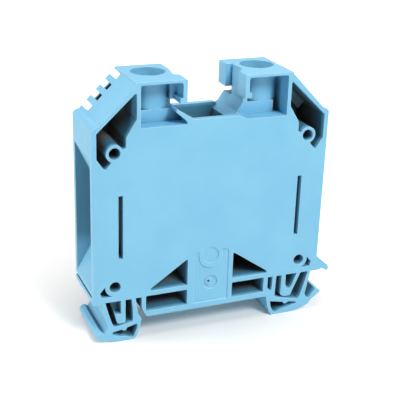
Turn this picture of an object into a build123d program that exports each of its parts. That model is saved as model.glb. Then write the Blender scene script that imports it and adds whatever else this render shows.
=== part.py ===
from build123d import *
import os
from math import hypot

# A feed-through terminal block for a 35 mm rail, in millimetres.
# X runs along the wire, Y across the rail seat, Z up from the soles of the feet.
# The origin is midway between the end walls, midway through the thickness, at the soles.
# The left head is the one at negative X, and side is -1 there and +1 on the right.

# Overall size of the moulded housing
body_length = 58.0          # from end wall to end wall
body_height = 62.5          # from the soles to the top of the two heads
body_thickness = 15.6       # room taken along the rail
side_wall = 1.5             # the two large side walls
thin_wall = 1.1             # walls round pockets and heads
top_plate = 0.7             # plate over each head

# Levels counted up from the soles
base_z = 5.5                # underside of the base, where the rail lies
floor_z = 10.8              # underside of the body
floor_wall = 1.3            # wall between the body and the base
mouth_low_z = 13.4          # sill of the wire entries
lower_socket_z = 14.45

# Levels counted down from the top of the heads
lip_z = body_height - 5.4               # lower end of the spring lips of the heads
block_z = body_height - 7.5             # shoulder that carries the screw tube
rim_z = body_height - 9.3               # front rim of the middle shaft
back_rim_z = body_height - 9.75         # its back rim
end_top_z = body_height - 10.0          # top of the end walls
head_floor_z = body_height - 10.25      # floor of the open recess in front of each screw tube
ramp_bend_z = body_height - 9.66        # where the right ramp grows steeper
ramp_low_z = body_height - 10.3
ramp_z = body_height - 10.5             # lower end of the shaft's ramps
screw_head_z = body_height - 10.8       # underside of the screw heads
roof_z = body_height - 11.3             # roof of the cages' chambers
upper_socket_z = body_height - 15.55
mouth_top_z = body_height - 16.4        # top of the wire entries
bar_z = body_height - 27.5              # underside of the current bar

# Screws and the tubes that guide them
screw_x = 13.5              # from the middle of the heads to each screw axis
screw_shift = 0.4           # the heads' middle lies this far to the right
screw_y = 1.6               # the axes lie behind the middle plane
tube_bore_r = 4.05
tube_wall = 0.95
shank_r = 3.0               # M6 thread, drawn plain
thread_clearance = 0.06     # radial, between screw and cage
screw_head_r = 3.8
screw_head_height = 5.0
driver_slot_width = 1.3
driver_slot_depth = 2.4
tip_clearance = 0.2         # screw tip above the current bar
screw_chamfer = 0.6
screw_head_chamfer = 0.4

# Heads
head_inner_x = 7.0          # inner face of each head
head_outer_x = 18.9         # outer face of each head
head_wall = 1.1
head_corner = 0.3           # rounding of the top edges
recess_corner = 0.5         # rounding of the recess openings
nub = 0.65                  # catch on the end of a spring lip
nub_height = 1.2
recess_depth = 4.4          # open recess in front of the screw tube
lip_thickness = 1.0
left_lip_depth = 4.6
left_lip_back_x = 7.16
left_wall_start = 8.0       # from the front, the end of the window under the left head's inner wall
left_wall_near_x = 8.48     # outer face of that wall beside the lip
left_wall_far_x = 7.75      # and beside the tube
left_wall_near = 5.25       # distances of those two points from the front
left_wall_far = 10.2
right_lip_depth = 3.9
right_lip_back_x = 7.05
right_wall_x = 8.5          # outer face of the right head's inner wall
right_wall_near_x = 8.8     # the same beside the lip, above the lip's end
right_wall_near = 5.7       # distance of that point from the front
right_wall_end = 11.0       # from the front
right_back_lip_start = 11.4
right_back_lip_x = 9.0      # inner face of the lip at the right head's back
back_window_x = 10.5        # how far the window under that lip runs
gap_low_x = 16.3            # the gap beside the right head's block
gap_depth = 7.2

# Clamping cages, current bar and their chambers
cage_y = 0.8                # middle of cage and bar
cage_length = 10.0
cage_width = 10.4
cage_height = 19.7
cage_wall = 1.0
cage_sole = 1.6
cage_nut = 3.7              # threaded top of the cage
cage_corner = 1.2
cage_window_corner = 0.5
cage_clearance = 0.3
cage_travel = 9.0
cage_closed_gap = 2.2       # between sole and bar when the cage is right up
bar_half = 20.3             # half the length of the current bar
bar_width = 7.8
bar_thickness = 2.5
bar_chamfer = 0.4
bar_slot_clearance = 0.1
jumper_hole_r = 2.1         # threaded hole for a cross connection

# Wire entries
tunnel_start_x = 24.0       # inner end of the funnel
tunnel_width = 8.8
tunnel_height = 11.2        # from its floor up to the current bar
tunnel_overlap = 1.0        # how far the tunnel runs into the cage's chamber
entry_slot_x = 22.42        # narrow slot in the front wall beside the tunnel
entry_slot_width = 1.1
entry_slot_above_bar = 1.9
entry_slot_height = 15.5

# Locating sockets in the front and pins on the back
socket_x = 23.8
socket_r = 1.35
socket_depth = 6.0
socket_wall = 0.65
pin_r = 1.25
pin_length = 1.6
pin_chamfer = 0.3
crescent_gap = 1.0          # wall between a lower socket and its crescent pocket
pocket_corner = 0.3         # rounding of the pockets' corners

# Middle shaft for a cross connection
shaft_half = 4.9
ramp_top_x = 8.5            # where the right ramp meets the head's block
ramp_foot_x = 5.9           # where the right ramp meets the front rim
ramp_bend_x = 7.05          # the right ramp is steeper above this point
ramp_low_x = 6.1
left_ramp_foot_x = 5.1
left_ramp_top_x = 9.4
left_ramp_rise = 2.6        # from its foot on the rim to its top
left_ramp_tip = 0.5         # length and drop of its blunt upper end
left_ramp_root_x = 6.85     # where its underside ends above the recess floor
left_ramp_root = 0.6        # height of that end above the floor
recess_slope = 2.0          # run of the slope from the rim to the right recess floor

# Base pockets and the panel between them
pocket_inner_x = 5.85
triangle_far_x = 15.1
triangle_low_height = 0.6
oblong_far_x = {-1: 16.25, 1: 14.45}
oblong_sill = 1.4           # above the rail face
panel_depth = 0.22
panel_left_x = -4.2
panel_right_x = 4.7
panel_low_z = 6.9
panel_top_z = 20.4
panel_corner = 1.0
pad_z = 18.95               # the raised pad that hangs from the panel's top edge
pad_r = 3.0
core_z = 19.15              # the round mark sunk into that pad
core_r = 2.05
core_depth = 0.25
gate_x = 0.2
gate_z = 11.9
gate_r = 1.75
gate_depth = 0.5
gate_stub_r = 0.95
gate_hole_x = -0.35
gate_hole_z = 12.2
gate_hole_r = 0.35
gate_hole_depth = 1.0

# Marker notches in the shoulders
notch_pitch = 3.2
notch_width = 1.65
notch_depth = 2.1
notch_reach = 5.4           # from the back face
notch_count = 4
notch_floor = 1.0
bed_half_length = 7.0
pit_depth = 4.5             # through the bed into the pocket
pit_rim = 0.8
pit_rim_depth = 1.3

half = body_length / 2
front = -body_thickness / 2
back = body_thickness / 2
tube_r = tube_bore_r + tube_wall
bar_top_z = bar_z + bar_thickness
tunnel_low_z = bar_z - tunnel_height
cage_low_z = bar_z - cage_closed_gap - cage_travel - cage_sole
cage_top_z = cage_low_z + cage_height
triangle_top_z = cage_low_z - cage_clearance - 2.95
pocket_floor = back - side_wall
lip_inner_x = head_inner_x + lip_thickness
recess_outer_x = head_outer_x - head_wall
plate_z = body_height - top_plate
cut_margin = 1.0            # how far a cutting tool runs past a face
touch = 0.1                 # overlap of tools that are joined


def axis_x(side):
    """X of one screw axis."""
    return side * screw_x + screw_shift


def prism(points, y_start, y_end, corner=0.0, at=None):
    """A side-view outline pushed through from y_start to y_end, with all its corners or those named rounded."""
    outline = Plane.XZ.offset(-y_start) * Polygon(*points, align=None)
    if corner:
        corners = outline.vertices()
        if at is not None:
            corners = [v for v in corners if min(hypot(v.X - x, v.Z - z) for x, z in at) < 0.01]
        outline = fillet(corners, corner)
    return extrude(outline, amount=y_end - y_start, dir=(0, 1, 0))


def plan_prism(points, z_low, z_high):
    """An outline seen from above, with Y counted from the front face, raised from z_low to z_high."""
    outline = Plane.XY.offset(z_low) * Polygon(*[(x, front + y) for x, y in points], align=None)
    return extrude(outline, amount=z_high - z_low, dir=(0, 0, 1))


def flipped(points):
    return [(-x, z) for x, z in points]


def box(x_low, x_high, y_low, y_high, z_low, z_high):
    centre = ((x_low + x_high) / 2, (y_low + y_high) / 2, (z_low + z_high) / 2)
    return Pos(*centre) * Box(x_high - x_low, y_high - y_low, z_high - z_low)


def sided_box(side, x_near, x_far, y_low, y_high, z_low, z_high):
    """A box on one side of the middle, with X counted outwards and Y from the front face."""
    low, high = sorted((side * x_near, side * x_far))
    return box(low, high, front + y_low, front + y_high, z_low, z_high)


def rod_y(x, z, radius, y_start, y_end):
    """A round bar along Y."""
    circle = Plane.XZ.offset(-y_start) * Pos(x, z) * Circle(radius)
    return extrude(circle, amount=y_end - y_start, dir=(0, 1, 0))


def rod_z(x, y, radius, z_low, z_high):
    """A round bar along Z."""
    return Pos(x, y, (z_low + z_high) / 2) * Cylinder(radius, z_high - z_low)


def shoulder():
    """The right shoulder's outline, from the end wall up to the head."""
    return [
        (half, end_top_z),
        (half - 0.7, end_top_z + 0.65),
        (half - 1.6, end_top_z + 0.9),
        (half - 2.2, end_top_z + 1.6),
        (head_outer_x + 0.2, body_height - 0.5),
        (head_outer_x, body_height),
    ]


def body_shell():
    """The full-thickness side view of the body up to the shoulders, heads still closed."""
    left_side = list(reversed(flipped(shoulder())))
    outline = [(-half, floor_z), (half, floor_z)] + shoulder()
    outline += [(head_inner_x, body_height), (head_inner_x, block_z), (ramp_foot_x, rim_z)]
    outline += [(-left_ramp_foot_x, rim_z), (-head_inner_x, block_z), (-head_inner_x, body_height)] + left_side
    tops = [(head_inner_x, body_height), (-head_inner_x, body_height)]
    return prism(outline, front, back, corner=head_corner, at=tops)


def right_lip():
    """The beak below the right wire entry."""
    outline = [
        (half - 1.5, mouth_low_z + 1.4),
        (half, mouth_low_z + 1.2),
        (half + 3.45, floor_z + 0.75),
        (half + 3.65, floor_z - 0.2),
        (half + 3.0, floor_z - 0.65),
        (half + 1.9, floor_z + 0.2),
        (half + 0.9, floor_z - 0.1),
        (half - 1.5, floor_z - 0.1),
    ]
    return prism(outline, front, back, corner=0.25)


def left_ridge():
    """The narrow ridge under the left wire entry."""
    outline = [
        (-half, floor_z + 0.7),
        (-half, floor_z - 0.3),
        (-half + 0.5, floor_z - 0.6),
        (-half + 1.9, floor_z - 0.3),
        (-half + 1.9, floor_z + 0.7),
    ]
    return prism(outline, front, back)


def left_groove():
    """The groove between that ridge and the sill, closed at the front."""
    outline = [
        (-half - cut_margin, floor_z + 0.75),
        (-half + 0.7, floor_z + 0.75),
        (-half + 0.7, floor_z + 1.45),
        (-half - cut_margin, floor_z + 1.75),
    ]
    return prism(outline, front + 1.6, back + cut_margin)


def head_recess(side):
    """The open recess in front of one screw tube, with the window under the spring lip."""
    top_corners = [(recess_outer_x, plate_z), (lip_inner_x, plate_z)]
    outline = [(recess_outer_x, head_floor_z)] + top_corners + [
        (lip_inner_x, lip_z + nub_height),
        (lip_inner_x + nub, lip_z + nub_height),
        (lip_inner_x + nub, lip_z),
        (head_inner_x - 4, lip_z),
    ]
    if side > 0:
        outline += [(ramp_foot_x, rim_z), (ramp_foot_x + recess_slope, head_floor_z)]
    else:
        left_ramp_top_z = rim_z + left_ramp_rise
        outline += [
            (left_ramp_foot_x, rim_z),
            (left_ramp_top_x, left_ramp_top_z),
            (left_ramp_top_x + left_ramp_tip / 2, left_ramp_top_z - left_ramp_tip),
            (left_ramp_root_x, head_floor_z + left_ramp_root),
            (left_ramp_root_x, head_floor_z),
        ]
        outline = flipped(outline)
        top_corners = flipped(top_corners)
    return prism(outline, front - cut_margin, front + recess_depth, corner=recess_corner, at=top_corners)


def head_hollow(side):
    """The hollow round one screw tube, above the shoulder block."""
    near_x = (right_wall_x if side > 0 else left_wall_near_x) + head_wall
    hollow = sided_box(
        side, near_x, recess_outer_x, recess_depth - touch, body_thickness - side_wall, block_z, plate_z,
    )
    return hollow - rod_z(axis_x(side), screw_y, tube_r, block_z - 1, body_height)


def right_head_steps():
    """The right head's inner wall stands back between its two lips, and the back lip hangs free."""
    setback = plan_prism(
        [
            (head_inner_x - cut_margin, right_lip_depth),
            (right_lip_back_x, right_lip_depth),
            (right_wall_near_x, right_wall_near),
            (right_wall_x, right_back_lip_start),
            (head_inner_x - cut_margin, right_back_lip_start),
        ],
        block_z, body_height + cut_margin,
    )
    setback += sided_box(
        1, head_inner_x - cut_margin, right_wall_x, right_lip_depth, right_back_lip_start, block_z, lip_z,
    )
    slit = sided_box(
        1, head_inner_x - cut_margin, right_back_lip_x, right_wall_end, right_back_lip_start, block_z, plate_z,
    )
    under_lip = sided_box(
        1, head_inner_x - cut_margin, back_window_x, right_wall_end, body_thickness + cut_margin,
        block_z, lip_z,
    )
    under_lip -= rod_z(axis_x(1), screw_y, tube_r, block_z - 1, body_height)
    gap = sided_box(1, gap_low_x, recess_outer_x, recess_depth - touch, gap_depth, head_floor_z, block_z + touch)
    return setback + slit + under_lip + gap


def left_head_steps():
    """The left head's inner wall slants back from its lip, over a window above the block."""
    setback = plan_prism(
        [
            (-head_inner_x + cut_margin, left_lip_depth),
            (-left_lip_back_x, left_lip_depth),
            (-left_wall_near_x, left_wall_near),
            (-left_wall_far_x, left_wall_far),
            (-left_wall_far_x, body_thickness + cut_margin),
            (-head_inner_x + cut_margin, body_thickness + cut_margin),
        ],
        block_z, body_height + cut_margin,
    )
    window = sided_box(
        -1, head_inner_x - cut_margin, left_wall_near_x + head_wall + touch, recess_depth - touch, left_wall_start,
        block_z, lip_z,
    )
    window -= rod_z(axis_x(-1), screw_y, tube_r, block_z - 1, body_height)
    return setback + window


def gap_between_heads():
    """Clears the space between the heads down to the ramps and both rims of the middle shaft."""
    left_top_x = left_ramp_foot_x + (block_z - rim_z) * (left_ramp_top_x - left_ramp_foot_x) / left_ramp_rise
    outline = [
        (ramp_top_x, block_z), (ramp_top_x, block_z + touch), (-left_top_x, block_z + touch), (-left_top_x, block_z),
        (-left_ramp_foot_x, rim_z), (ramp_foot_x, rim_z),
    ]
    behind = [
        (ramp_top_x, block_z), (ramp_top_x, block_z + touch), (-left_top_x, block_z + touch), (-left_top_x, block_z),
        (-left_ramp_foot_x, back_rim_z), (ramp_low_x - 0.55, back_rim_z), (ramp_low_x, ramp_low_z),
        (ramp_bend_x, ramp_bend_z),
    ]
    cleared = prism(outline, front - cut_margin, back + cut_margin)
    return cleared + prism(behind, front + body_thickness / 2, back + cut_margin)


def middle_shaft():
    """The shaft between the heads that leads down to the current bar."""
    well = box(
        -shaft_half, shaft_half, front + side_wall, back - side_wall,
        bar_top_z, ramp_z,
    )
    mouth = prism(
        [
            (-shaft_half, ramp_z - touch), (-shaft_half, ramp_z - 0.6), (shaft_half, ramp_z - 0.6),
            (ramp_low_x, ramp_low_z), (ramp_bend_x, ramp_bend_z), (ramp_top_x, block_z),
            (ramp_top_x, block_z + touch), (-ramp_top_x, block_z + touch), (-ramp_top_x, block_z),
        ],
        front + side_wall, back - side_wall,
    )
    return well + mouth


def chamber(side):
    """The room in which one clamping cage rides up and down."""
    reach = cage_length / 2 + cage_clearance
    y_reach = cage_width / 2 + cage_clearance
    return box(
        axis_x(side) - reach, axis_x(side) + reach,
        cage_y - y_reach, cage_y + y_reach,
        cage_low_z - cage_clearance, roof_z,
    )


def bar_slot():
    """The way for the current bar through the middle of the housing."""
    return box(
        -bar_half - bar_slot_clearance, bar_half + bar_slot_clearance,
        cage_y - bar_width / 2 - bar_slot_clearance, cage_y + bar_width / 2 + bar_slot_clearance,
        bar_z, bar_top_z + bar_slot_clearance,
    )


def wire_entry(side):
    """The funnel in one end wall and the tunnel from it to the cage."""
    mouth = Plane.YZ.offset(side * (half + 0.01)) * Pos(0, (mouth_low_z + mouth_top_z) / 2) * Rectangle(
        body_thickness - 2 * side_wall, mouth_top_z - mouth_low_z
    )
    throat = Plane.YZ.offset(side * tunnel_start_x) * Pos(cage_y, (tunnel_low_z + bar_z) / 2) * Rectangle(
        tunnel_width, bar_z - tunnel_low_z
    )
    funnel = loft([mouth.faces()[0], throat.faces()[0]])
    inner_x = axis_x(side) + side * (cage_length / 2 - tunnel_overlap)
    low, high = sorted((inner_x, side * (tunnel_start_x + 0.01)))
    tunnel = box(
        low, high, cage_y - tunnel_width / 2, cage_y + tunnel_width / 2, tunnel_low_z, bar_z,
    )
    return funnel + tunnel


def entry_slot(side):
    """The narrow slot through the front wall into the tunnel."""
    top_z = bar_z + entry_slot_above_bar
    return box(
        side * entry_slot_x - entry_slot_width / 2, side * entry_slot_x + entry_slot_width / 2,
        front - cut_margin, cage_y - tunnel_width / 2 + touch,
        top_z - entry_slot_height, top_z,
    )


def corner_pocket(side):
    """The deep pocket under one shoulder, which leaves the socket tube standing."""
    outline = [
        (head_outer_x - 0.2, body_height - 2.0),
        (head_outer_x - 0.2, end_top_z + 1.9),
        (socket_x - 2.65, upper_socket_z + 3.45),
        (socket_x - 2.6, upper_socket_z + 1.1),
        (socket_x, upper_socket_z),
        (socket_x + 0.95, upper_socket_z - 2.3),
        (socket_x + 2.2, upper_socket_z - 3.7),
        (half - thin_wall, upper_socket_z - 1.0),
        (half - thin_wall, end_top_z - 0.7),
    ]
    if side < 0:
        outline = flipped(outline)
    hollow = prism(outline, front - cut_margin, pocket_floor, corner=pocket_corner)
    post = rod_y(side * socket_x, upper_socket_z, socket_r + socket_wall, front - 2 * cut_margin, back)
    return hollow - post - marker_bed(side)


def crescent_pocket(side):
    """The small pocket beside one lower socket."""
    outline = [
        (socket_x + 2.1, lower_socket_z + 0.75),
        (half - 1.6, lower_socket_z - 1.0),
        (half - 2.0, floor_z + floor_wall),
        (socket_x + 0.3, floor_z + floor_wall),
        (socket_x, lower_socket_z),
    ]
    if side < 0:
        outline = flipped(outline)
    hollow = prism(outline, front - cut_margin, pocket_floor)
    return hollow - rod_y(side * socket_x, lower_socket_z, socket_r + crescent_gap, front - 2, back)


def sockets():
    holes = Part()
    for side in (-1, 1):
        for z in (lower_socket_z, upper_socket_z):
            holes += rod_y(side * socket_x, z, socket_r, front - cut_margin, front + socket_depth)
    return holes


def pins():
    studs = Part()
    for side in (-1, 1):
        for z in (lower_socket_z, upper_socket_z):
            stud = rod_y(side * socket_x, z, pin_r, back - 0.5, back + pin_length)
            studs += chamfer(stud.edges().filter_by(GeomType.CIRCLE).sort_by(Axis.Y)[-1], pin_chamfer)
    return studs


def base_pockets():
    """The triangular and oblong pockets either side of the middle panel."""
    pocket_top = floor_z + 0.1
    triangle_low_z = floor_z + floor_wall
    cuts = Part()
    for side in (-1, 1):
        triangle = [
            (pocket_inner_x, triangle_low_z), (triangle_far_x, triangle_low_z),
            (triangle_far_x, triangle_low_z + triangle_low_height),
            (pocket_inner_x + 0.25, triangle_top_z), (pocket_inner_x, triangle_top_z - 0.25),
        ]
        oblong = [
            (pocket_inner_x, base_z + oblong_sill), (oblong_far_x[side], base_z + oblong_sill),
            (oblong_far_x[side], pocket_top), (pocket_inner_x, pocket_top),
        ]
        for outline, corner in ((triangle, 0.1), (oblong, pocket_corner)):
            points = outline if side > 0 else flipped(outline)
            cuts += prism(points, front - cut_margin, pocket_floor, corner=corner)
    return cuts


def base_bar():
    """The bar of the base that rests on the rail."""
    outline = [
        (-17.3, floor_z + 0.1), (-17.3, 8.0), (-16.4, 6.0), (-15.9, base_z), (16.0, base_z), (16.0, floor_z + 0.1),
    ]
    return prism(outline, front, back)


def right_foot():
    """The foot with the pry lug."""
    outline = [
        (15.2, floor_z + 0.1), (15.3, base_z), (15.5, 4.7), (15.9, 2.7), (16.4, 1.1), (17.1, 0.0),
        (21.5, 0.0), (24.5, 0.4), (27.35, 1.35), (28.4, 2.7), (30.5, 4.1), (30.75, 4.7), (29.4, 5.45),
        (27.5, 3.1), (26.7, 3.3), (26.35, 4.6), (27.0, 8.0), (27.6, floor_z + 0.1),
    ]
    return prism(outline, front, back)


def right_foot_cuts():
    """The channel beside the foot's tongue, and the pockets in the tongue, the sole and the web."""
    top = floor_z - 0.05
    wedge = [(15.6, top), (16.95, top), (16.75, 7.0), (16.35, 7.0), (15.6, 7.9)]
    channel = [(17.95, top), (17.75, 5.2), (18.2, 4.8), (24.3, 3.4), (24.9, 4.1), (26.75, 10.5), (26.5, top)]
    tongue = [(19.45, top + 1), (19.35, 5.4), (20.2, 4.75), (22.1, 4.75), (24.7, top), (24.9, top + 1)]
    notch = [(20.6, top), (20.6, 8.1), (21.1, 6.8), (21.9, 6.8), (22.4, 7.5), (23.6, top)]
    sole = [(16.55, 3.95), (17.0, 2.0), (17.9, 0.6), (18.5, 0.6), (19.2, 1.0), (24.0, 2.1), (24.0, 2.6), (21.7, 3.0),
            (21.3, 2.6), (20.6, 2.6), (20.2, 3.15)]
    through = prism(channel, front - cut_margin, back + cut_margin) - prism(tongue, front - 2, back + 2)
    blind = prism(wedge, front - cut_margin, pocket_floor) + prism(sole, front - cut_margin, pocket_floor)
    return through + blind + prism(notch, front - cut_margin, pocket_floor)


def left_foot():
    """The sprung foot with its long ridge and hooked inner wall."""
    outline = [
        (-27.2, floor_z + 0.1), (-25.45, 3.7), (-26.3, 2.4), (-27.2, 2.9), (-28.1, 2.4), (-28.4, 1.6), (-26.7, 0.8),
        (-22.5, 0.0), (-19.2, 0.0), (-18.6, 0.6), (-17.8, 2.7), (-17.3, 5.0), (-18.15, 6.6), (-18.7, 9.3),
        (-18.75, floor_z + 0.1),
    ]
    return prism(outline, front, back)


def left_foot_cuts():
    """The channel beside the foot's tongue, and the pockets in the tongue and the sole."""
    top = floor_z - 0.05
    channel = [(-26.2, top), (-25.4, 7.7), (-24.4, 4.5), (-23.9, 3.95), (-19.7, 4.7), (-19.45, 5.3), (-19.5, 8.0),
               (-19.8, top)]
    tongue = [(-24.9, top + 1), (-24.7, top), (-23.35, 5.0), (-22.9, 4.75), (-21.6, 4.8), (-21.3, 5.2),
              (-21.3, top + 1)]
    notch = [(-24.9, top), (-23.75, 7.3), (-22.4, 7.3), (-22.4, top)]
    sole = [(-24.6, 2.3), (-24.4, 2.7), (-22.1, 3.1), (-21.9, 2.7), (-21.2, 2.7), (-20.9, 3.4), (-18.6, 4.0),
            (-18.3, 3.6), (-18.5, 2.7), (-19.3, 0.7), (-20.1, 0.6), (-21.2, 1.15), (-22.6, 1.3), (-24.3, 1.9)]
    through = prism(channel, front - cut_margin, back + cut_margin) - prism(tongue, front - 2, back + 2)
    return through + prism(notch, front - cut_margin, front + 2.5) + prism(sole, front - cut_margin, pocket_floor)


def along_shoulder(side, start, end, top, bottom):
    """A four-sided patch under one shoulder's slope: distances along the slope and below it."""
    low_x, low_z = half - 2.2, end_top_z + 1.6
    high_x, high_z = head_outer_x + 0.2, body_height - 0.5
    run = hypot(high_x - low_x, high_z - low_z)
    along_x, along_z = (high_x - low_x) / run, (high_z - low_z) / run
    corners = [(start, top), (end, top), (end, bottom), (start, bottom)]
    middle_x, middle_z = (low_x + high_x) / 2, (low_z + high_z) / 2
    points = [
        (middle_x + along_x * t - along_z * depth, middle_z + along_z * t + along_x * depth)
        for t, depth in corners
    ]
    return points if side > 0 else flipped(points)


def marker_bed(side):
    """The thick floor that carries the marker teeth, at the back of one shoulder pocket."""
    patch = along_shoulder(side, -bed_half_length, bed_half_length, 0, notch_depth + notch_floor)
    return prism(patch, back - notch_reach - notch_floor, back)


def marker_notches(side):
    """The notches between the marker teeth. The inner ones drop into the pocket behind a low rim."""
    cuts = Part()
    first = -notch_pitch * (notch_count - 1) / 2
    for index in range(notch_count):
        middle = first + index * notch_pitch
        start, end = middle - notch_width / 2, middle + notch_width / 2
        if 0 < index < notch_count - 1:
            cuts += prism(along_shoulder(side, start, end, -2, pit_rim_depth), back - notch_reach, back + cut_margin)
            cuts += prism(along_shoulder(side, start, end, -2, pit_depth), back - notch_reach, back - pit_rim)
        else:
            cuts += prism(along_shoulder(side, start, end, -2, notch_depth), back - notch_reach, back + cut_margin)
    return cuts


def middle_panel():
    """The shallow panel between the base pockets, with its pad, the pad's round mark and the gate mark."""
    right_top = (panel_right_x, panel_top_z)
    outline = [
        (panel_left_x, panel_low_z), (panel_right_x, panel_low_z), right_top, (panel_left_x, panel_top_z),
    ]
    panel = prism(outline, front - cut_margin, front + panel_depth, corner=panel_corner, at=[right_top])
    pad = rod_y(0, pad_z, pad_r, front - 2, front + 1)
    pad += box(-pad_r, pad_r, front - 2, front + 1, pad_z, panel_top_z + cut_margin)
    core = rod_y(0, core_z, core_r, front - cut_margin, front + core_depth)
    gate = rod_y(gate_x, gate_z, gate_r, front - cut_margin, front + gate_depth)
    stub = rod_y(gate_hole_x, gate_hole_z, gate_stub_r, front + panel_depth, front + 1)
    hole = rod_y(gate_hole_x, gate_hole_z, gate_hole_r, front - cut_margin, front + gate_hole_depth)
    return panel - pad + core + (gate - stub) + hole


def housing():
    solid = body_shell() + right_lip() + left_ridge() + base_bar() + right_foot() + left_foot() + pins()
    solid -= gap_between_heads()
    for side in (-1, 1):
        solid -= head_recess(side)
        solid -= head_hollow(side)
        solid -= chamber(side)
        solid -= wire_entry(side)
        solid -= entry_slot(side)
        solid -= corner_pocket(side)
        solid -= crescent_pocket(side)
        solid -= marker_notches(side)
        solid -= rod_z(axis_x(side), screw_y, tube_bore_r, roof_z - cut_margin, body_height + cut_margin)
    solid -= right_head_steps()
    solid -= left_head_steps()
    solid -= middle_shaft()
    solid -= bar_slot()
    solid -= sockets()
    solid -= base_pockets()
    solid -= right_foot_cuts()
    solid -= left_foot_cuts()
    solid -= left_groove()
    solid -= middle_panel()
    return solid


def current_bar():
    """The flat bar that joins the two clamps, with a threaded hole in the middle."""
    bar = box(
        -bar_half, bar_half, cage_y - bar_width / 2, cage_y + bar_width / 2, bar_z, bar_top_z,
    )
    bar = chamfer(bar.edges().filter_by(Axis.Y), bar_chamfer)
    return bar - rod_z(0, cage_y, jumper_hole_r, bar_z - cut_margin, bar_top_z + cut_margin)


def clamping_cage(side):
    """The folded steel frame that the screw draws up against the bar."""
    x = axis_x(side)
    low_x, high_x = x - cage_length / 2, x + cage_length / 2
    outer = box(low_x, high_x, cage_y - cage_width / 2, cage_y + cage_width / 2, cage_low_z, cage_top_z)
    outer = fillet(outer.edges().filter_by(Axis.X), cage_corner)
    window = box(
        low_x - cut_margin, high_x + cut_margin,
        cage_y - cage_width / 2 + cage_wall, cage_y + cage_width / 2 - cage_wall,
        cage_low_z + cage_sole, cage_top_z - cage_nut,
    )
    window = fillet(window.edges().filter_by(Axis.X), cage_window_corner)
    hole = rod_z(x, screw_y, shank_r + thread_clearance, cage_low_z + cage_sole + 1, cage_top_z + cut_margin)
    return outer - window - hole


def clamping_screw(side):
    """The slotted screw that turns in its tube and draws the cage up."""
    x = axis_x(side)
    shank = rod_z(x, screw_y, shank_r, bar_top_z + tip_clearance, screw_head_z)
    shank = chamfer(shank.edges().sort_by(Axis.Z)[0], screw_chamfer)
    head = rod_z(x, screw_y, screw_head_r, screw_head_z, screw_head_z + screw_head_height)
    head = chamfer(head.edges().group_by(Axis.Z)[-1], screw_head_chamfer)
    top_z = screw_head_z + screw_head_height
    slot = box(
        x - screw_head_r - 1, x + screw_head_r + 1,
        screw_y - driver_slot_width / 2, screw_y + driver_slot_width / 2,
        top_z - driver_slot_depth, top_z + cut_margin,
    )
    return shank + head - slot


def save(shape, name):
    shape.label = name
    export_step(shape, f"parts/{name}.step")


os.makedirs("parts", exist_ok=True)
save(housing(), "housing")
save(current_bar(), "current_bar")
for side, name in ((-1, "left"), (1, "right")):
    save(clamping_cage(side), f"{name}_clamping_cage")
    save(clamping_screw(side), f"{name}_clamping_screw")
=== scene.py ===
from math import hypot, pi, radians

import bmesh
import bpy
from mathutils import Matrix, Vector


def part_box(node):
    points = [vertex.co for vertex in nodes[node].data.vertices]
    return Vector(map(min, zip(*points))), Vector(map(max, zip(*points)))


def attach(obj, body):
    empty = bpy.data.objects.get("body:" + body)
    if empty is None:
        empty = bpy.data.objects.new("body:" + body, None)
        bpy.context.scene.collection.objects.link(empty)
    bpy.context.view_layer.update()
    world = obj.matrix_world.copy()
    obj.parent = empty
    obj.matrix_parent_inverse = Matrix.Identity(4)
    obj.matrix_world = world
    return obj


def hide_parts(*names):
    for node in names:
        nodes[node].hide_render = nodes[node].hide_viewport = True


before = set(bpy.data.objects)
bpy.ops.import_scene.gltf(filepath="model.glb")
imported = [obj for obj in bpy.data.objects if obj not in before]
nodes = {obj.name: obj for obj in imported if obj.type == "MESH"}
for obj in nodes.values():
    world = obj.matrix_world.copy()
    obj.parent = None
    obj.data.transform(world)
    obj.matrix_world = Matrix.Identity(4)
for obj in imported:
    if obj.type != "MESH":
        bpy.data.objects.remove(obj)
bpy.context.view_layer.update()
housing_low, housing_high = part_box("housing")

MM = 0.001
UP = (0, 0, 1)

# Viewpoint of the photograph
CAMERA_PLACE = (-0.07922, -0.18940, 0.11211)
CAMERA_TURN = (radians(68.272), radians(-1.705), radians(-22.011))
CAMERA_LENS = 82.5          # lens and sensor are in millimetres
CAMERA_SENSOR = 36
CAMERA_NEAREST = 0.01
CAMERA_FARTHEST = 20

# Colours
WHITE = (1, 1, 1, 1)
POLYAMIDE_BLUE = (0.215, 0.560, 0.790, 1)
POLYAMIDE_DEEPER = (0.195, 0.530, 0.765, 1)
# painted highlight along the housing's edges
POLYAMIDE_EDGE_HIGHLIGHT = (0.520, 0.810, 0.940, 1)
# painted shade: dark blue in the recesses and funnels, near black deep in the pockets
POLYAMIDE_PAINTED_SHADE = (0.055, 0.230, 0.350, 1)
POLYAMIDE_PAINTED_DEEP_SHADE = (0.135, 0.120, 0.110, 1)
ZINC = (0.70, 0.71, 0.72, 1)
ZINC_SHADE = (0.52, 0.53, 0.55, 1)
PASSIVATED = (0.62, 0.60, 0.52, 1)
PASSIVATED_SHADE = (0.50, 0.50, 0.45, 1)
TIN = (0.74, 0.73, 0.70, 1)
TIN_SHADE = (0.60, 0.58, 0.55, 1)
FLOOR_WHITE = (0.88, 0.855, 0.83, 1)

# Rounded corners, and a painted highlight along the housing's edges
POLYAMIDE_EDGE_RADIUS = 0.22 * MM
METAL_EDGE_RADIUS = 0.12 * MM
EDGE_SAMPLES = 6
EDGE_STARTS = 0.985         # cosine of the angle between the softened normal and the face's own
EDGE_FULL = 0.84

# Places on the housing
FRONT_FACE_Y = housing_low.y
HEAD_TOP_Z = housing_high.z
HEAD_FLOOR_Z = HEAD_TOP_Z - 10.25 * MM
HEAD_HALF_WIDTH = 18.5 * MM     # from the block's middle to the heads' outer walls
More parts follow.
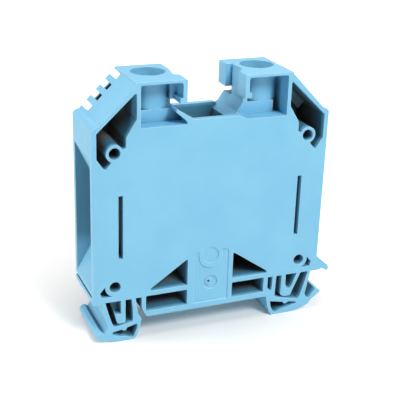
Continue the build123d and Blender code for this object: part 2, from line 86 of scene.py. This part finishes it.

# Painted shade: where the housing's colour darkens in its pockets, recesses and wire funnels; each pair
# says where that starts and where it is full
CAVITY_REACH = 20 * MM      # how far off a wall still shelters a cavity
CAVITY_SAMPLES = 12
POCKET_OPENNESS = (0.75, 0.02)      # 1 on an open face, 0 where walls shut out all light
POCKET_DEPTH = (FRONT_FACE_Y + 0.1 * MM, FRONT_FACE_Y + 2.0 * MM)
RECESS_OPENNESS = (0.42, 0.10)
RECESS_DEPTH = (FRONT_FACE_Y + 3.0 * MM, FRONT_FACE_Y + 4.8 * MM)
FUNNEL_OPENNESS = (0.92, 0.70)
FUNNEL_DEPTH = (FRONT_FACE_Y + 8.0 * MM, FRONT_FACE_Y + 11.0 * MM)
FUNNEL_ACROSS = (20.0 * MM, 24.0 * MM)
FUNNEL_HEIGHT = (18.0 * MM, 24.0 * MM)
FUNNEL_SHARE = 0.55
ABOVE_HEAD_FLOOR = (HEAD_FLOOR_Z - 0.5 * MM, HEAD_FLOOR_Z)
WITHIN_HEAD_WALLS = (HEAD_HALF_WIDTH + 1.5 * MM, HEAD_HALF_WIDTH)
BELOW_TUBE_MOUTH = (HEAD_TOP_Z - 1.0 * MM, HEAD_TOP_Z - 4.5 * MM)
PAINTED_SHADE_RANGE = (0.0, 0.7)
PAINTED_DEEP_SHADE_RANGE = (0.86, 0.99)

# Clamping screws
THREAD_PITCH = 1.0 * MM
THREAD_CREST_R = 3.0 * MM
THREAD_ROOT_R = 2.45 * MM
THREAD_PROFILE = (          # radius, and height as a share of the pitch
    (THREAD_ROOT_R, 0.0), (THREAD_ROOT_R, 0.22), (THREAD_CREST_R, 0.55), (THREAD_CREST_R, 0.67))
SPARE_THREADS = 2           # past each end of the shank, before its ends are cut
SCREW_TIP_R = 2.35 * MM
SCREW_HEAD_HEIGHT = 5.0 * MM
SCREW_HEAD_RIM = 0.45 * MM
SCREW_HEAD_SHOULDER = (0.12 * MM, 0.16 * MM)    # in from the head's side and down from its top
HEAD_OVERLAP = 0.5 * MM     # how far the shank reaches into the head
SLOT_WIDTH = 1.3 * MM
SLOT_DEPTH = 2.4 * MM
TURN_STEPS = 60
CORNER_ANGLE = radians(30)  # sharper corners stay crisp
SAME_POINT = 0.001 * MM
SLIVER_WIDTH = 0.004 * MM
SLIVER_LENGTH = 0.002 * MM

# Studio
FLOOR_SIZE = 6
FLOOR_PAINTED_SHADE_FADE = (0.01, 0.055)  # distance from the middle where the floor's glow starts to rise and is full; nearer in it is dimmed, painting grey shade round the block
FLOOR_FAR = (0.10, 0.70)
FLOOR_GLOW_IN_PAINTED_SHADE = 0.05
FLOOR_GLOW_NEAR = 0.40
FLOOR_GLOW_FAR = 0.70
BACKGROUND_STRENGTH = 1.0
SOFT_FILL_STRENGTH = 0.08
LAMP_TARGET = (0, 0, 0.03)


def new_material(name):
    material = bpy.data.materials.new(name)
    material.use_nodes = True
    return material, material.node_tree, material.node_tree.nodes["Principled BSDF"]


def object_pattern(tree, stretch):
    """Object coordinates, stretched to suit a pattern's direction."""
    coordinates = tree.nodes.new("ShaderNodeTexCoord")
    mapping = tree.nodes.new("ShaderNodeMapping")
    mapping.inputs["Scale"].default_value = stretch
    tree.links.new(coordinates.outputs["Object"], mapping.inputs["Vector"])
    return mapping.outputs["Vector"]


def noise(tree, vector, scale, detail):
    texture = tree.nodes.new("ShaderNodeTexNoise")
    texture.inputs["Scale"].default_value = scale
    texture.inputs["Detail"].default_value = detail
    tree.links.new(vector, texture.inputs["Vector"])
    return texture.outputs["Fac"]


def ramp(tree, factor, start, end, first, second):
    """Runs from the first colour at the start to the second at the end."""
    colours = tree.nodes.new("ShaderNodeValToRGB")
    colours.color_ramp.elements[0].position = start
    colours.color_ramp.elements[1].position = end
    colours.color_ramp.elements[0].color = first
    colours.color_ramp.elements[1].color = second
    tree.links.new(factor, colours.inputs["Fac"])
    return colours.outputs["Color"]


def grey(value):
    return (value, value, value, 1)


def rounded_edge(tree, radius):
    """A normal that turns softly over the edges, and a mask that is white along them, which the housing
    uses for its painted edge highlight.
    """
    bevel = tree.nodes.new("ShaderNodeBevel")
    bevel.samples = EDGE_SAMPLES
    bevel.inputs["Radius"].default_value = radius
    geometry = tree.nodes.new("ShaderNodeNewGeometry")
    dot = tree.nodes.new("ShaderNodeVectorMath")
    dot.operation = "DOT_PRODUCT"
    tree.links.new(bevel.outputs["Normal"], dot.inputs[0])
    tree.links.new(geometry.outputs["Normal"], dot.inputs[1])
    mask = tree.nodes.new("ShaderNodeMapRange")
    mask.inputs["From Min"].default_value = EDGE_STARTS
    mask.inputs["From Max"].default_value = EDGE_FULL
    tree.links.new(dot.outputs["Value"], mask.inputs["Value"])
    return bevel.outputs["Normal"], mask.outputs["Result"]


def calculate(tree, operation, *values):
    """One calculation with up to three values, each a socket or a plain number."""
    step = tree.nodes.new("ShaderNodeMath")
    step.operation = operation
    for socket, value in zip(step.inputs, values):
        if isinstance(value, bpy.types.NodeSocket):
            tree.links.new(value, socket)
        else:
            socket.default_value = value
    return step.outputs["Value"]


def product(tree, first, *others):
    """All the values multiplied."""
    for value in others:
        first = calculate(tree, "MULTIPLY", first, value)
    return first


def soft_step(tree, value, start, end):
    """Rises smoothly from 0 at the start to 1 at the end, which may lie below the start."""
    step = tree.nodes.new("ShaderNodeMapRange")
    step.interpolation_type = "SMOOTHSTEP"
    step.inputs["From Min"].default_value = start
    step.inputs["From Max"].default_value = end
    tree.links.new(value, step.inputs["Value"])
    return step.outputs["Result"]


def painted_shade_mask(tree):
    """Painted shade: white deep in the pockets and in the heads' tightest corners, grey at the back of
    the wire funnels.

    It is black on the open faces and in the mouths of the heads' tubes.
    """
    shelter = tree.nodes.new("ShaderNodeAmbientOcclusion")
    shelter.samples = CAVITY_SAMPLES
    shelter.only_local = True
    shelter.inputs["Distance"].default_value = CAVITY_REACH
    openness = shelter.outputs["AO"]
    coordinates = tree.nodes.new("ShaderNodeTexCoord")
    place = tree.nodes.new("ShaderNodeSeparateXYZ")
    tree.links.new(coordinates.outputs["Object"], place.inputs["Vector"])
    across = calculate(tree, "ABSOLUTE", place.outputs["X"])
    depth = place.outputs["Y"]
    height = place.outputs["Z"]
    pocket = product(
        tree, soft_step(tree, openness, *POCKET_OPENNESS), soft_step(tree, depth, *POCKET_DEPTH))
    recess = product(
        tree, soft_step(tree, openness, *RECESS_OPENNESS), soft_step(tree, depth, *RECESS_DEPTH))
    funnel = product(
        tree, soft_step(tree, openness, *FUNNEL_OPENNESS), soft_step(tree, depth, *FUNNEL_DEPTH),
        soft_step(tree, across, *FUNNEL_ACROSS), soft_step(tree, height, *FUNNEL_HEIGHT), FUNNEL_SHARE)
    in_body = calculate(tree, "MAXIMUM", pocket, funnel)
    is_head = product(
        tree, soft_step(tree, height, *ABOVE_HEAD_FLOOR), soft_step(tree, across, *WITHIN_HEAD_WALLS))
    either = tree.nodes.new("ShaderNodeMix")
    tree.links.new(is_head, either.inputs["Factor"])
    tree.links.new(in_body, either.inputs["A"])
    tree.links.new(recess, either.inputs["B"])
    return product(tree, either.outputs["Result"], soft_step(tree, height, *BELOW_TUBE_MOUTH))


def blend(tree, factor, first, second):
    """The first colour where the factor is 0, the second where it is 1."""
    mix = tree.nodes.new("ShaderNodeMix")
    mix.data_type = "RGBA"
    tree.links.new(factor, mix.inputs["Factor"])
    tree.links.new(first, mix.inputs["A"])
    mix.inputs["B"].default_value = second
    return mix.outputs["Result"]


def bump(tree, height, normal, strength, distance):
    relief = tree.nodes.new("ShaderNodeBump")
    relief.inputs["Strength"].default_value = strength
    relief.inputs["Distance"].default_value = distance
    tree.links.new(height, relief.inputs["Height"])
    tree.links.new(normal, relief.inputs["Normal"])
    return relief.outputs["Normal"]


def moulded_polyamide():
    """Satin blue polyamide with a fine eroded grain, faint flow clouds and softly rounded edges, with a
    painted highlight along the edges and painted shade in the pockets, recesses and wire funnels.
    """
    material, tree, shader = new_material("moulded_blue_polyamide")
    vector = object_pattern(tree, stretch=(1, 1, 1))
    clouds = noise(tree, vector, scale=90.0, detail=3.0)
    colour = ramp(tree, clouds, start=0.35, end=0.65, first=POLYAMIDE_DEEPER, second=POLYAMIDE_BLUE)
    normal, edge_highlight_mask = rounded_edge(tree, POLYAMIDE_EDGE_RADIUS)
    # painted highlight: the colour turns light along the edges
    colour = blend(tree, edge_highlight_mask, colour, POLYAMIDE_EDGE_HIGHLIGHT)
    cavity = painted_shade_mask(tree)
    # painted shade: darker blue, then near black, where the mask is strong
    colour = blend(tree, soft_step(tree, cavity, *PAINTED_SHADE_RANGE), colour, POLYAMIDE_PAINTED_SHADE)
    colour = blend(tree, soft_step(tree, cavity, *PAINTED_DEEP_SHADE_RANGE), colour, POLYAMIDE_PAINTED_DEEP_SHADE)
    tree.links.new(colour, shader.inputs["Base Color"])
    sheen = noise(tree, vector, scale=260.0, detail=2.0)
    roughness = ramp(tree, sheen, start=0.3, end=0.7, first=grey(0.44), second=grey(0.54))
    tree.links.new(roughness, shader.inputs["Roughness"])
    grain = noise(tree, vector, scale=7000.0, detail=2.0)
    relief = bump(tree, grain, normal, strength=0.25, distance=0.012 * MM)
    tree.links.new(relief, shader.inputs["Normal"])
    shader.inputs["IOR"].default_value = 1.53
    return material


def plated_metal(name, colour, shade, stretch, grain_scale, glossiest, dullest):
    """Plated metal: lines or clouds in its colour and gloss, and softly rounded edges."""
    material, tree, shader = new_material(name)
    shader.inputs["Metallic"].default_value = 1.0
    lines = noise(tree, object_pattern(tree, stretch), grain_scale, detail=4.0)
    plating = ramp(tree, lines, start=0.3, end=0.7, first=shade, second=colour)
    tree.links.new(plating, shader.inputs["Base Color"])
    roughness = ramp(tree, lines, start=0.25, end=0.75, first=grey(dullest), second=grey(glossiest))
    tree.links.new(roughness, shader.inputs["Roughness"])
    normal, _ = rounded_edge(tree, METAL_EDGE_RADIUS)
    relief = bump(tree, lines, normal, strength=0.2, distance=0.01 * MM)
    tree.links.new(relief, shader.inputs["Normal"])
    return material


def dress(piece, material):
    piece.data.materials.clear()
    piece.data.materials.append(material)


def to_piece(name, shape, material):
    """Turns a finished bmesh into an object, with its curved faces smooth and its corners crisp."""
    bmesh.ops.recalc_face_normals(shape, faces=shape.faces)
    for face in shape.faces:
        face.smooth = True
    for edge in shape.edges:
        edge.smooth = len(edge.link_faces) == 2 and edge.calc_face_angle() < CORNER_ANGLE
    mesh = bpy.data.meshes.new(name)
    shape.to_mesh(mesh)
    shape.free()
    piece = bpy.data.objects.new(name, mesh)
    bpy.context.scene.collection.objects.link(piece)
    mesh.materials.append(material)
    return piece


def turned(profile, axis):
    """Spins a profile of (radius, height) points into a closed turned solid."""
    shape = bmesh.new()
    points = [shape.verts.new((axis.x + radius, axis.y, height)) for radius, height in profile]
    lines = [shape.edges.new(pair) for pair in zip(points, points[1:])]
    bmesh.ops.spin(
        shape, geom=points + lines, cent=axis, axis=UP, angle=2 * pi, steps=TURN_STEPS, use_merge=True)
    bmesh.ops.remove_doubles(shape, verts=shape.verts, dist=SAME_POINT)
    return shape


def threaded_shank(axis, low, high):
    """A right-hand thread: one zigzag up the shank, spun once round while it climbs one pitch."""
    shape = bmesh.new()
    zigzag = []
    height = low - SPARE_THREADS * THREAD_PITCH
    while height < high + SPARE_THREADS * THREAD_PITCH:
        for radius, share in THREAD_PROFILE:
            zigzag.append(shape.verts.new((axis.x + radius, axis.y, height + share * THREAD_PITCH)))
        height += THREAD_PITCH
    lines = [shape.edges.new(pair) for pair in zip(zigzag, zigzag[1:])]
    climb = (0, 0, THREAD_PITCH / TURN_STEPS)
    bmesh.ops.spin(
        shape, geom=zigzag + lines, cent=axis, axis=UP, dvec=climb, angle=2 * pi, steps=TURN_STEPS)
    bmesh.ops.remove_doubles(shape, verts=shape.verts, dist=SAME_POINT)
    for end, keep_above in ((low, True), (high, False)):
        bmesh.ops.bisect_plane(
            shape, geom=shape.verts[:] + shape.edges[:] + shape.faces[:], plane_co=(0, 0, end),
            plane_no=UP, clear_inner=keep_above, clear_outer=not keep_above)
    taper_tip(shape, axis, low)
    rims = [edge for edge in shape.edges if edge.is_boundary]
    bmesh.ops.holes_fill(shape, edges=rims, sides=0)
    return shape


def taper_tip(shape, axis, low):
    """Draws the thread in to a blunt point at 45 degrees."""
    for point in shape.verts:
        reach = hypot(point.co.x - axis.x, point.co.y - axis.y)
        most = SCREW_TIP_R + max(0.0, point.co.z - low)
        if reach > most:
            point.co.x = axis.x + (point.co.x - axis.x) * most / reach
            point.co.y = axis.y + (point.co.y - axis.y) * most / reach


def screw_head(axis, radius, low, high):
    """A round head, chamfered below and rounded in two steps at the top."""
    shoulder_in, shoulder_down = SCREW_HEAD_SHOULDER
    return turned((
        (0, low), (radius - SCREW_HEAD_RIM, low), (radius, low + SCREW_HEAD_RIM),
        (radius, high - SCREW_HEAD_RIM), (radius - shoulder_in, high - shoulder_down),
        (radius - SCREW_HEAD_RIM, high), (0, high)), axis)


def screwdriver_slot(axis, radius, high):
    """A block as wide as the slot and longer than the head is wide, half sunk in the head's top."""
    shape = bmesh.new()
    size = Matrix.Diagonal((4 * radius, SLOT_WIDTH, 2 * SLOT_DEPTH, 1))
    bmesh.ops.create_cube(shape, size=1.0, matrix=Matrix.Translation((axis.x, axis.y, high)) @ size)
    return shape


def close_slivers(mesh):
    """Merges what the cuts left a few thousandths of a millimetre apart, and closes what stays open."""
    shape = bmesh.new()
    shape.from_mesh(mesh)
    bmesh.ops.remove_doubles(shape, verts=shape.verts, dist=SLIVER_WIDTH)
    bmesh.ops.dissolve_degenerate(shape, edges=shape.edges, dist=SLIVER_LENGTH)
    bmesh.ops.holes_fill(shape, edges=[edge for edge in shape.edges if edge.is_boundary], sides=0)
    shape.to_mesh(mesh)
    shape.free()


def clamping_screw(side, material):
    """A slotted screw with a cut thread, in the place of its plain CAD node."""
    node = side + "_clamping_screw"
    low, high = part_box(node)
    axis = Vector(((low.x + high.x) / 2, (low.y + high.y) / 2, 0))
    radius = (high.x - low.x) / 2
    head_low = high.z - SCREW_HEAD_HEIGHT
    screw = to_piece(node + "_threaded", threaded_shank(axis, low.z, head_low + HEAD_OVERLAP), material)
    head = to_piece(node + "_head", screw_head(axis, radius, head_low, high.z), material)
    slot = to_piece(node + "_slot", screwdriver_slot(axis, radius, high.z), material)
    for other, operation in ((head, "UNION"), (slot, "DIFFERENCE")):
        cut = screw.modifiers.new(operation.lower(), "BOOLEAN")
        cut.operation = operation
        cut.object = other
        cut.solver = "EXACT"
    whole = bpy.data.meshes.new_from_object(screw.evaluated_get(bpy.context.evaluated_depsgraph_get()))
    screw.modifiers.clear()
    close_slivers(whole)
    screw.data = whole
    for helper in (head, slot):
        bpy.data.objects.remove(helper)
    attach(screw, side + "_screw")
    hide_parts(node)


def seen_directly(tree):
    """1 for the camera, a reflection or a clear piece looking at it, 0 for the light that it gives."""
    light_path = tree.nodes.new("ShaderNodeLightPath")
    seen = calculate(
        tree, "MAXIMUM", light_path.outputs["Is Camera Ray"], light_path.outputs["Is Glossy Ray"])
    return calculate(tree, "MAXIMUM", seen, light_path.outputs["Is Transmission Ray"])


def studio_floor():
    """A pale floor under the soles that shows white far off; near the block its glow is dimmed, so the
    lamps' soft shadow shows there together with painted grey shade round it.
    """
    bpy.ops.mesh.primitive_plane_add(size=FLOOR_SIZE, location=(0, 0, housing_low.z))
    floor = bpy.context.object
    floor.name = "studio_floor"
    material, tree, shader = new_material("floor_white")
    shader.inputs["Base Color"].default_value = FLOOR_WHITE
    shader.inputs["Roughness"].default_value = 0.9
    shader.inputs["Specular IOR Level"].default_value = 0.1
    shader.inputs["Emission Color"].default_value = WHITE
    coordinates = tree.nodes.new("ShaderNodeTexCoord")
    radius = tree.nodes.new("ShaderNodeVectorMath")
    radius.operation = "LENGTH"
    tree.links.new(coordinates.outputs["Object"], radius.inputs[0])
    near = soft_step(tree, radius.outputs["Value"], *FLOOR_PAINTED_SHADE_FADE)
    far = soft_step(tree, radius.outputs["Value"], *FLOOR_FAR)
    # painted shade: the glow is lowest under and near the block, so the floor there turns grey besides
    # the lamps' real shadow
    glow = calculate(tree, "MULTIPLY_ADD", near, FLOOR_GLOW_NEAR, FLOOR_GLOW_IN_PAINTED_SHADE)
    glow = calculate(tree, "MULTIPLY_ADD", far, FLOOR_GLOW_FAR, glow)
    tree.links.new(product(tree, seen_directly(tree), glow), shader.inputs["Emission Strength"])
    dress(floor, material)


def studio_world():
    """White where the camera or a reflection sees it, a faint even light elsewhere."""
    world = bpy.data.worlds.new("studio")
    bpy.context.scene.world = world
    world.use_nodes = True
    tree = world.node_tree
    background = tree.nodes["Background"]
    background.inputs["Color"].default_value = WHITE
    level = tree.nodes.new("ShaderNodeMapRange")
    level.inputs["To Min"].default_value = SOFT_FILL_STRENGTH
    level.inputs["To Max"].default_value = BACKGROUND_STRENGTH
    tree.links.new(seen_directly(tree), level.inputs["Value"])
    tree.links.new(level.outputs["Result"], background.inputs["Strength"])


def softbox(name, place, size, power):
    """A round lamp turned towards the middle of the block."""
    data = bpy.data.lights.new(name, "AREA")
    data.shape = "DISK"
    data.size = size
    data.energy = power
    lamp = bpy.data.objects.new(name, data)
    bpy.context.scene.collection.objects.link(lamp)
    lamp.location = place
    lamp.rotation_euler = (Vector(LAMP_TARGET) - Vector(place)).to_track_quat("-Z", "Y").to_euler()


def photo_camera():
    data = bpy.data.cameras.new("photo_camera")
    data.lens = CAMERA_LENS
    data.sensor_width = CAMERA_SENSOR
    data.clip_start = CAMERA_NEAREST
    data.clip_end = CAMERA_FARTHEST
    camera = bpy.data.objects.new("photo_camera", data)
    bpy.context.scene.collection.objects.link(camera)
    camera.location = CAMERA_PLACE
    camera.rotation_euler = CAMERA_TURN
    bpy.context.scene.camera = camera


polyamide = moulded_polyamide()
zinc_steel = plated_metal(
    "zinc_plated_steel", ZINC, ZINC_SHADE, stretch=(1, 1, 6), grain_scale=900.0,
    glossiest=0.26, dullest=0.38)
cage_steel = plated_metal(
    "passivated_steel", PASSIVATED, PASSIVATED_SHADE, stretch=(1, 1, 0.3), grain_scale=1200.0,
    glossiest=0.34, dullest=0.48)
tinned_bar = plated_metal(
    "tinned_copper", TIN, TIN_SHADE, stretch=(0.1, 1, 1), grain_scale=1500.0,
    glossiest=0.24, dullest=0.36)

dress(nodes["housing"], polyamide)
dress(nodes["current_bar"], tinned_bar)
for side in ("left", "right"):
    dress(nodes[side + "_clamping_cage"], cage_steel)
    dress(nodes[side + "_clamping_screw"], zinc_steel)
    clamping_screw(side, zinc_steel)

studio_floor()
studio_world()
softbox("key_softbox", place=(0.22, -0.65, 0.68), size=0.36, power=6.8)
softbox("top_softbox", place=(-0.10, -0.10, 0.90), size=0.45, power=2.4)
softbox("side_softbox", place=(-0.85, 0.25, 0.38), size=0.40, power=4.6)
softbox("back_softbox", place=(0.70, 0.62, 0.42), size=0.40, power=1.6)
photo_camera()
bpy.context.scene.view_settings.view_transform = "Standard"
